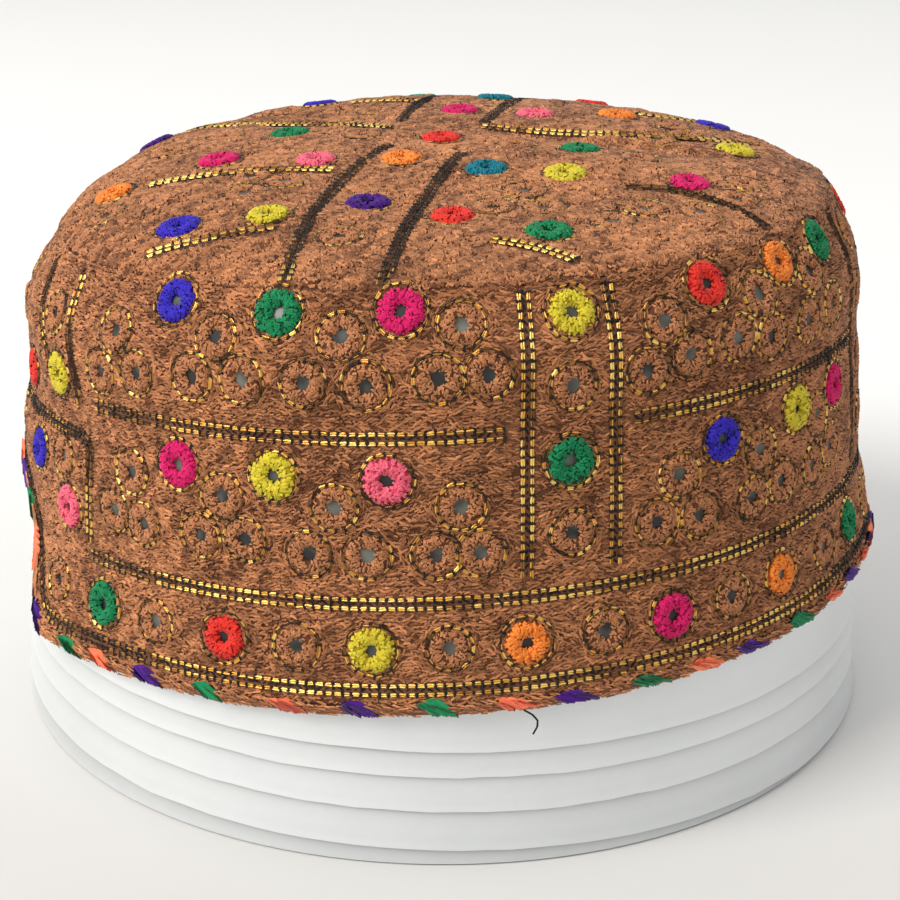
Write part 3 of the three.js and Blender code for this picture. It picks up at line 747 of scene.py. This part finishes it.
def even_steps(points, step, closed=False):
    """The same line with its points an even step apart"""
    if closed:
        points = np.vstack([points, points[:1]])
    run = np.concatenate([[0], np.cumsum(np.linalg.norm(np.diff(points, axis=0), axis=1))])
    at = np.linspace(0, run[-1], max(int(run[-1] / step), 4) + 1)
    even = np.stack([np.interp(at, run, points[:, n]) for n in range(3)], -1)
    return even[:-1] if closed else even


def through(x, y):
    """A curve in plan through three places, as a parabola by its length"""
    t = np.linspace(0, 1, 30)
    return np.stack([np.interp(t, [0, 1], [start, end]) + 4 * t * (1 - t) * (middle - (start + end) / 2)
                     for start, middle, end in (x, y)], -1)


level_lines = [(band_point(*edge_line(cord_heights["rim"], cord_heights["rim"], 300)), True),
               (band_point(np.linspace(upper_from, 360 - upper_from, 300), cord_heights["upper"]), False)]
bend = np.linspace(0, math.pi / 2, 8)
corner_bearings = frame_bearing - frame_corner * (1 - np.cos(bend))
corner_heights = cord_heights["frame"] - frame_corner * (1 - np.sin(bend))
top_bearings = np.linspace(frame_bearing - frame_corner, 0, 40)[1:]
half_bearings = np.concatenate([[frame_bearing] * 8, corner_bearings, top_bearings])
half_heights = np.concatenate([np.linspace(frame_foot, corner_heights[0], 9)[:-1], corner_heights,
                               np.full(len(top_bearings), cord_heights["frame"])])
level_lines.append((band_point(np.concatenate([half_bearings, -half_bearings[-2::-1]]),
                               np.concatenate([half_heights, half_heights[-2::-1]])), False))
level_lines += [(band_point(side * np.linspace(start, end, 60), cord_heights["panel"]), False)
                for start, end in panels for side in (1, -1)]
upright_lines = [(band_point(side * np.linspace(start, end, 40), np.linspace(foot, head, 40)), False)
                 for start, end, foot, head in uprights for side in (1, -1)]
glinting_crown_lines, unglinting_crown_lines = ([(crown_point(*through(x, y).T), False) for x, y in chart]
                                        for chart in (glinting_crown_cords, unglinting_crown_cords))


def waves(points, wavelength, seed):
    """Soft unevenness between -1 and 1 over the cap, from a few crossing waves"""
    lot = np.random.default_rng(seed)
    directions = unit(lot.normal(size=(6, 3)))
    phases = lot.uniform(0, 2 * math.pi, 6)
    return np.sin(points @ directions.T * (2 * math.pi / (wavelength * MM)) + phases).sum(-1) / 3


def stations(lines, pitch):
    """Places half a pitch apart along lines on the cloth: where, the way along, the way the cloth faces"""
    made = []
    for points, closed in lines:
        middle, facing_out = on_cloth(even_steps(points, pitch / 2 * MM, closed))
        ways = np.roll(middle, -1, 0) - np.roll(middle, 1, 0) if closed else np.gradient(middle, axis=0)
        made.append((middle, unit(ways), facing_out))
    return made


gold = thread_material("gilt_cord", (0.06, 0.03, 0.014), (1.0, 0.71, 0.2), roughness=0.28, metallic=0.75)
gold_ramp = gold.node_tree.nodes["Color Ramp"].color_ramp
gold_ramp.elements[1].position = 0.8
for position, colour in [(0.3, (0.27, 0.12, 0.04, 1)), (0.6, (0.86, 0.45, 0.08, 1))]:
    gold_ramp.elements.new(position).color = colour
black = thread_material("black_thread", (0.006, 0.005, 0.005), (0.03, 0.025, 0.022), roughness=0.8)
cord_spacing, half_cord, cord_pitch, bed_pitch = 1.75, 0.19, 1.75, 1.4
gilt = {"Length": 1.32, "Width": 0.38, "Height": 0.4, "Lift": 0.45}
crossing = {"Length": 1.25, "Width": 0.46, "Height": 0.5, "Lift": 0.47}
beneath = {"Length": 1.1, "Width": 0.38, "Height": 0.34, "Lift": 0.2}
# painted shade on the gold: its glint is painted duller towards the front and the back: from which bearing,
# over how many degrees, how much
gold_painted_dulling = [(85, -25, 1), (150, 12, 1.6)]
glint_patch_share, own_share = 0.42, 0.55


def sew(name, steps, offsets, phase, sizes, seed, shine=0.0, patch=20, dulled=0.0, slot="black_thread",
        **settings):
    """Threads at every other station, at some distances to one side: one piece of the cord work"""
    points, ways, outs = (np.concatenate([line[n][phase::2] for line in steps for offset in offsets])
                          for n in range(3))
    across = unit(np.cross(ways, outs))
    aside = np.concatenate([np.full(len(line[0][phase::2]), offset) for line in steps for offset in offsets])
    # painted glint: the gilt's tint is painted brighter in soft patches and by the group's glint, and duller
    # towards the front and the back
    painted_glint_patches = np.clip(0.5 + 0.9 * waves(points, patch, 6), 0, 1)
    bearing = np.abs(np.degrees(np.arctan2(points[:, 0], axis_y * MM - points[:, 1])))
    painted_dullness = sum(share * np.clip((bearing - start) / over, 0, 1) for start, over, share in gold_painted_dulling)
    own_tint = np.random.default_rng(seed).uniform(0, own_share, len(points))
    tint = np.clip(glint_patch_share * painted_glint_patches + own_tint + (shine - dulled * painted_dullness), 0, 1)
    material = gold if slot == "gold_cord" else black
    settings = {"Swing": 0.12, "Variation": 0.2, **settings}
    places = points + across * aside[:, None] * MM
    return grow(name, places, ways, outs, {"tint": tint}, thread_tree, sizes, seed, material, slot,
                **settings)


# place, lines, painted glint, painted dulling, extra lift, first seed, the CAD cords that it stands for
cord_groups = [
    ("level", level_lines, 0.12, 0.3, 0, 40, ["cord_rim", "cord_upper", "cord_notch", "cord_panel"]),
    ("upright", upright_lines, 0.12, 0.4, 0, 43, ["cord_column"]),
    ("crown", glinting_crown_lines, 0.15, 0, 0.4, 46,
     ["cord_crown_cross_front_far", "cord_crown_cross_back_far"]),
    ("crown_dull", unglinting_crown_lines, -0.4, 0, 0.15, 49, ["cord_crown_left", "cord_crown_right", "near"]),
]
cord_nodes = [n for n in frame["nodes"] if n.startswith("cord_")]
both_sides = (-cord_spacing / 2, cord_spacing / 2)
strand_offsets = [side + half for side in both_sides for half in (-half_cord, half_cord)]
for place, lines, shine, dulled, raised_by, first_seed, covered in cord_groups:
    steps = [(points + outs * raised_by * MM, ways, outs)
             for points, ways, outs in stations(lines, cord_pitch)]
    cords = sew(f"gold_cords_{place}", steps, strand_offsets, 0, gilt, first_seed, shine, dulled=dulled,
                slot="gold_cord")
    mine = [n for n in cord_nodes if any(label in n for label in covered)]
    cord_nodes = [n for n in cord_nodes if n not in mine]
    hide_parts(*mine)
    sew(f"cord_stitches_{place}", steps, both_sides, 1, crossing, first_seed + 1, Turn=math.pi / 2, Swing=0.35,
        Variation=0.35)
    sew(f"cord_beds_{place}", stations(lines, bed_pitch), (0,), 0, beneath, first_seed + 2, Swing=0.8,
        Variation=0.4)


# Gilt circles: one thinner gilt strand, sewn down the same way, round every thread ring. Much of
# it has sunk into the brown thread. Its glints in some places and its dullness in others are painted.
bright_circle, brown_circle, circle_corners, circle_sink = 5.0, 4.45, 40, 0.24
circle_pitch, half_thin_cord, circle_seed = 1.8, 0.16, 60
thin_gilt = {"Length": 1.35, "Width": 0.38, "Height": 0.36, "Lift": 0.78}
thin_crossing = {"Length": 1.1, "Width": 0.5, "Height": 0.42, "Lift": 0.74}
circle_angle = np.linspace(0, 2 * math.pi, circle_corners, endpoint=False)
circle_lines = []
for place, across, up, colour in zip(ring_places, ring_across, ring_up, ring_colours):
    reach = (brown_circle if colour == "brown" else bright_circle) * dice.uniform(0.97, 1.03) * MM
    loop = place + reach * (np.cos(circle_angle)[:, None] * across + np.sin(circle_angle)[:, None] * up)
    circle_lines.append((loop, True))
circle_steps = [(points - outs * (circle_sink * MM if high else 0), ways, outs)
                for (points, ways, outs), high in zip(stations(circle_lines, circle_pitch), on_crown)]
# painted glint: the circles' gilt is painted bright in small patches and a little duller overall
sew("gilt_circles", circle_steps, (-half_thin_cord, half_thin_cord), 0, thin_gilt, circle_seed,
    shine=-0.12, patch=8, slot="gold_cord", Swing=0.15)
sew("circle_stitches", circle_steps, (0,), 1, thin_crossing, circle_seed + 1, Turn=0.6, Swing=0.8,
    Variation=0.3)


# Ground: brown thread in short running stitches that cover all the cloth. They lie level between
# the rings and turn round each of them, and stand a little lower beside the cords.
stitch_grid, stitch_scatter, ring_pull, ring_edge, bright_edge, cord_edge = 0.64, 0.42, 7.5, 3.4, 4.1, 1.4
ground_padding, padding_slope, least_padding = 0.25, 2.5, -0.08
middle_tint, tint_spread, dark_share, darker, ground_variation = 0.5, 0.2, 0.1, 0.35, 0.42
# share, wavelength and seed of the waves in the tint
tint_waves = [(0.13, 30, 8), (0.18, 5, 9)]


def finder(places):
    """Finds the nearest of some places"""
    made = KDTree(len(places))
    for n, place in enumerate(places):
        made.insert(Vector(place), n)
    made.balance()
    return made


cord_lines = level_lines + upright_lines + glinting_crown_lines + unglinting_crown_lines
ring_finder = finder(ring_places)
cord_finder = finder(np.concatenate([line[0] for line in stations(cord_lines, 2)]))


def ground_stitches(name, points, level_ways, seed, lumps, length, swing):
    """One brown stitch at each point that no ring and no cord covers"""
    points, facing_out = on_cloth(points)
    near_rings = [ring_finder.find(Vector(p)) for p in points]
    ring_distance = np.array([found[2] for found in near_rings]) / MM
    ring_at = np.array([found[1] for found in near_rings])
    cord_distance = np.array([cord_finder.find(Vector(p))[2] for p in points]) / MM
    edge = np.where(ring_colours[ring_at] == "brown", ring_edge, bright_edge)
    clear = (ring_distance > edge) & (cord_distance > cord_edge)
    points, facing_out, level_ways = points[clear], facing_out[clear], level_ways[clear]
    ring_distance, ring_at, cord_distance = ring_distance[clear], ring_at[clear], cord_distance[clear]
    around_ring = unit(np.cross(facing_out, points - ring_places[ring_at]))
    level_ways = unit(level_ways - facing_out * np.einsum("ij,ij->i", level_ways, facing_out)[:, None])
    around_ring *= np.where(np.einsum("ij,ij->i", around_ring, level_ways) < 0, -1, 1)[:, None]
    pull = np.clip((ring_pull - ring_distance) / (ring_pull - ring_edge - 1), 0, 1)[:, None]
    ways = unit(level_ways * (1 - pull) + around_ring * pull)
    off_cords = np.clip((cord_distance - cord_edge) / padding_slope, 0, 1)
    off_rings = np.clip(ring_distance / ring_edge - 1, 0, 1)
    padding = ground_padding * off_cords + 0.12 * waves(points, 9, 5)
    padding += lumps * (waves(points, 17, 11) + 0.5 * waves(points, 7, 12)) * off_rings
    points = points + facing_out * np.maximum(padding, least_padding)[:, None] * MM
    lot = np.random.default_rng(seed)
    tint = middle_tint + tint_spread * lot.normal(size=len(points))
    for share, wavelength, wave_seed in tint_waves:
        tint += share * waves(points, wavelength, wave_seed)
    tint = np.clip(tint - darker * (lot.uniform(size=len(points)) < dark_share), 0, 1)
    sizes = {"Length": length, "Width": 0.47, "Height": 0.56, "Lift": 0.12}
    grow(name, points, ways, facing_out, {"tint": tint}, thread_tree, sizes, seed, threads_in["brown"],
         "brown_cloth", Swing=swing, Variation=ground_variation)


def scattered(width, height, lot):
    """Places on a staggered grid over a rectangle, each moved a little"""
    i, j = np.meshgrid(np.arange(int(width / stitch_grid)), np.arange(int(height / stitch_grid)))
    moved_u, moved_v = (lot.uniform(-stitch_scatter, stitch_scatter, i.shape) * stitch_grid for axis in "uv")
    return ((i + 0.5 * (j % 2)) * stitch_grid + moved_u).ravel(), (j * stitch_grid + moved_v).ravel()


degree_length = math.radians(wall_radius)
half = len(edge_bearings) // 2 + 1
for side, first_bearing, seed in [("right", 0, 71), ("left", 180, 72)]:
    u, v = scattered(180 * degree_length, seam_height + 1.3, np.random.default_rng(seed))
    bearings = first_bearing + u / degree_length
    folded = np.abs((bearings + 180) % 360 - 180)
    above_edge = v > np.interp(folded, edge_bearings[:half], edge_heights[:half]) + 0.3
    bearings, heights = bearings[above_edge], np.minimum(v[above_edge], seam_height)
    angle = np.radians(bearings)
    level_ways = np.stack([np.cos(angle), np.sin(angle), np.zeros(len(angle))], -1)
    ground_stitches(f"ground_{side}", band_point(bearings, heights), level_ways, seed, lumps=0.1, length=1.25,
                    swing=0.7)

crown_seed = 73
plan_radius = (seam_radius - thread_depth) * np.sin(np.linspace(0, 1, 400) * math.pi / 2)
dome_height = crown_rise * (1 - (plan_radius / seam_radius) ** crown_flat) ** (1 / crown_round)
dome_run = np.concatenate([[0], np.cumsum(np.hypot(np.diff(plan_radius), np.diff(dome_height)))])
reach = dome_run[-1]
u, v = (line - reach for line in scattered(2 * reach, 2 * reach, np.random.default_rng(crown_seed)))
run = np.hypot(u, v)
inside = (run < reach) & (run > 0.1)
u, v, run = u[inside], v[inside], run[inside]
shrink = np.interp(run, dome_run, plan_radius) / run
x, y = u * shrink, v * shrink
edge_share = np.clip((np.hypot(x, y) - 50) / 30, 0, 1)[:, None]
turning = np.stack([-y, x, 0 * x], -1) / np.hypot(x, y)[:, None]
turning *= np.where(turning[:, 1] < 0, -1, 1)[:, None]
crown_ways = np.array([0, 1.0, 0]) * (1 - edge_share) + turning * edge_share + np.array([0.05, 0.02, 0])
ground_stitches("ground_crown", crown_point(x, y), crown_ways, crown_seed, lumps=0.4, length=1.1, swing=1.4)


# Rim: a padded edge, oversewn with brown thread, with wedges of green, coral and purple satin
# stitch a centimetre and a half apart, all along the rim and the arch.
binding_width, binding_height, binding_drop, binding_inset, binding_sides = 1.0, 0.85, 0.75, 0.3, 8
# bearings of the wedges along the rim, and places of those on the arch before the first of them
wedge_charts = [57, 63, 70.8, 79.8, 89.5, 97.8, 106.4, 115, 121.7, 130.6, 138, 145, 154.3, 162.5, 168.5, 174.5,
                179.5]
arch_wedges = [-57, -50.3, -40.7, -30.6, -15.8]
wedge_colours = (["coral", "purple", "green", "coral", "purple"] + ["green", "coral", "purple"] * 5
                 + ["coral", "purple"])
wedge_half, wedge_threads, wedge_lean, wedge_narrowing, wedge_foot = 3.0, 18, 1.8, 0.7, -1.1
wedge_stretches, wedge_rises = (0.7, 1.1), (0.4, 1.5)
overcast_pitch, overcast_rows, spare = 0.8, (-1.25, -0.75, -0.25, 0.25), 15
edging_length, edging_height, edging_overlap, edging_seed = 3.0, 0.55, 1.12, 80
low_out, high_out, foot_in, foot_drop = 0.9, 0.95, -1.8, 0.4

edge_u = np.concatenate([[-spare], edge_bearings[:half] * degree_length, [180 * degree_length + spare]])
edge_v = np.concatenate([edge_heights[:1], edge_heights[:half], edge_heights[half - 1:half]])
edge_run = np.concatenate([[0], np.cumsum(np.hypot(np.diff(edge_u), np.diff(edge_v)))]) - spare


def edge_frame(edge_place, inward):
    """Bearing and height at a place along the right half of the edge, some way in from it"""
    behind, spot, beyond = (
        np.stack([np.interp(edge_place + step, edge_run, line) for line in (edge_u, edge_v)], -1)
        for step in (-0.3, 0, 0.3))
    way = unit(beyond - behind)
    return (spot[..., 0] - way[..., 1] * inward) / degree_length, spot[..., 1] + way[..., 0] * inward


def stray(reach, count=None):
    """How far threads stray from their places"""
    return dice.uniform(-reach, reach, count)


def tube(name, middle, one_way, other_way, half_width, half_height, sides, closed):
    """A skin round a line, with its half width one way and its half height the other"""
    at = np.linspace(0, 2 * math.pi, sides, endpoint=False)[None, :, None]
    across = half_width * np.cos(at) * one_way[:, None] + half_height * np.sin(at) * other_way[:, None]
    return loft(name, middle[:, None] + MM * across, closed)


binding_line = edge_line(rim_trim - binding_drop, arch_trim - binding_drop, 200)
binding_middle = band_point(*binding_line, -binding_inset)
binding_out = unit(binding_middle - band_point(*binding_line, -binding_inset - 1))
binding_down = unit(np.cross(np.roll(binding_middle, -1, 0) - np.roll(binding_middle, 1, 0), binding_out))
binding = tube("rim_binding_core", binding_middle, binding_out, binding_down, binding_width, binding_height,
               binding_sides, closed=True)
binding.data.materials.append(cloth)
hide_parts("rim_binding")
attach(binding, "root")

wedge_centres = [np.interp(bearing * degree_length, edge_u, edge_run) for bearing in wedge_charts]
wedge_centres = [wedge_centres[0] + place for place in arch_wedges] + wedge_centres
thread_ends = {colour: [] for colour in ["green", "coral", "purple", "brown"]}
for hand in (1, -1):
    for n, centre in enumerate(wedge_centres):
        colour = wedge_colours[n] if hand > 0 else wedge_colours[n - 1]
        across_wedge = dice.uniform(*wedge_stretches) * np.linspace(-1, 1, wedge_threads)
        wedge_rise = dice.uniform(*wedge_rises)
        top = 0.2 + wedge_rise * (1 - 0.8 * np.abs(across_wedge) ** 1.6) + stray(0.5, wedge_threads)
        low_place = centre + across_wedge * wedge_half + wedge_lean + stray(0.4, wedge_threads)
        high_place = centre + across_wedge * wedge_half * wedge_narrowing - wedge_lean
        high_place += stray(0.7, wedge_threads)
        for start, end, rise in zip(low_place, high_place, top):
            thread_ends[colour].append((hand, start, wedge_foot + stray(0.2), end, rise))
    for row in overcast_rows:
        brown_places = np.arange(0.3, edge_run[-1] - spare, overcast_pitch) + stray(0.4)
        gap = np.min(np.abs(brown_places[:, None] - np.array(wedge_centres)[None]), 1)
        for place in brown_places[gap > wedge_half - 0.6]:
            low = row + stray(0.25)
            end, rise = place - dice.uniform(1.0, 1.9), low + dice.uniform(-0.1, 0.8)
            thread_ends["brown"].append((hand, place, low, end, rise))
for colour, ends in thread_ends.items():
    hand, start, low_in, end, high_in = np.array(ends).T
    low_bearing, low_height = edge_frame(start, low_in)
    high_bearing, high_height = edge_frame(end, high_in)
    low_point = band_point(hand * low_bearing, low_height, low_out)
    parts = {"face": band_point(hand * high_bearing, high_height, high_out)}
    if colour != "brown":
        parts["foot"] = band_point(hand * low_bearing, low_height - foot_drop, foot_in)
    for part, far_point in parts.items():
        middle, ways = (low_point + far_point) / 2, far_point - low_point
        out_way = on_cloth(middle)[1] if part == "face" else np.tile([0, 0, -1.0], (len(middle), 1))
        lengths = np.linalg.norm(ways, axis=1) / (edging_length * MM) * edging_overlap
        numbers = {"size": lengths, "tint": dice.uniform(0.2, 1, len(middle))}
        sizes = {"Length": edging_length, "Width": 0.55 if colour == "brown" else 0.7, "Height": edging_height,
                 "Lift": 0.0}
        slot = {"brown": "brown_cloth", "coral": "orange_thread"}.get(colour, f"{colour}_thread")
        grow(f"edging_{colour}_{part}", middle, unit(ways), out_way, numbers, thread_tree, sizes, edging_seed,
             threads_in[colour], slot, Swing=0.08, Variation=0.08)


# Loose end: one dark thread that hangs from the rim, where the last wedge was fastened off. Its
# chart gives bearing, height and distance out from the wall.
loose_chart = [(115.4, 0.2, 0.5), (115.9, -0.8, 1.1), (116.7, -1.6, 1.5), (117.3, -2.9, 1.7),
               (117.3, -4.3, 1.6), (116.9, -5.9, 1.3)]
loose_radius, loose_sides, loose_bearing = 0.19, 6, 116.5
loose_points = even_steps(np.array([band_point(*row) for row in loose_chart]), 0.5 * MM)
loose_ways = unit(np.gradient(loose_points, axis=0))
loose_side = unit(np.cross(loose_ways, outward_at(loose_bearing)))
loose_up = np.cross(loose_side, loose_ways)
loose = tube("loose_thread", loose_points, loose_side, loose_up, loose_radius, loose_radius, loose_sides,
             closed=False)
loose.data.materials.append(thread_material("dark_green_thread", (0.002, 0.012, 0.010), (0.006, 0.03, 0.024)))
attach(loose, "root")
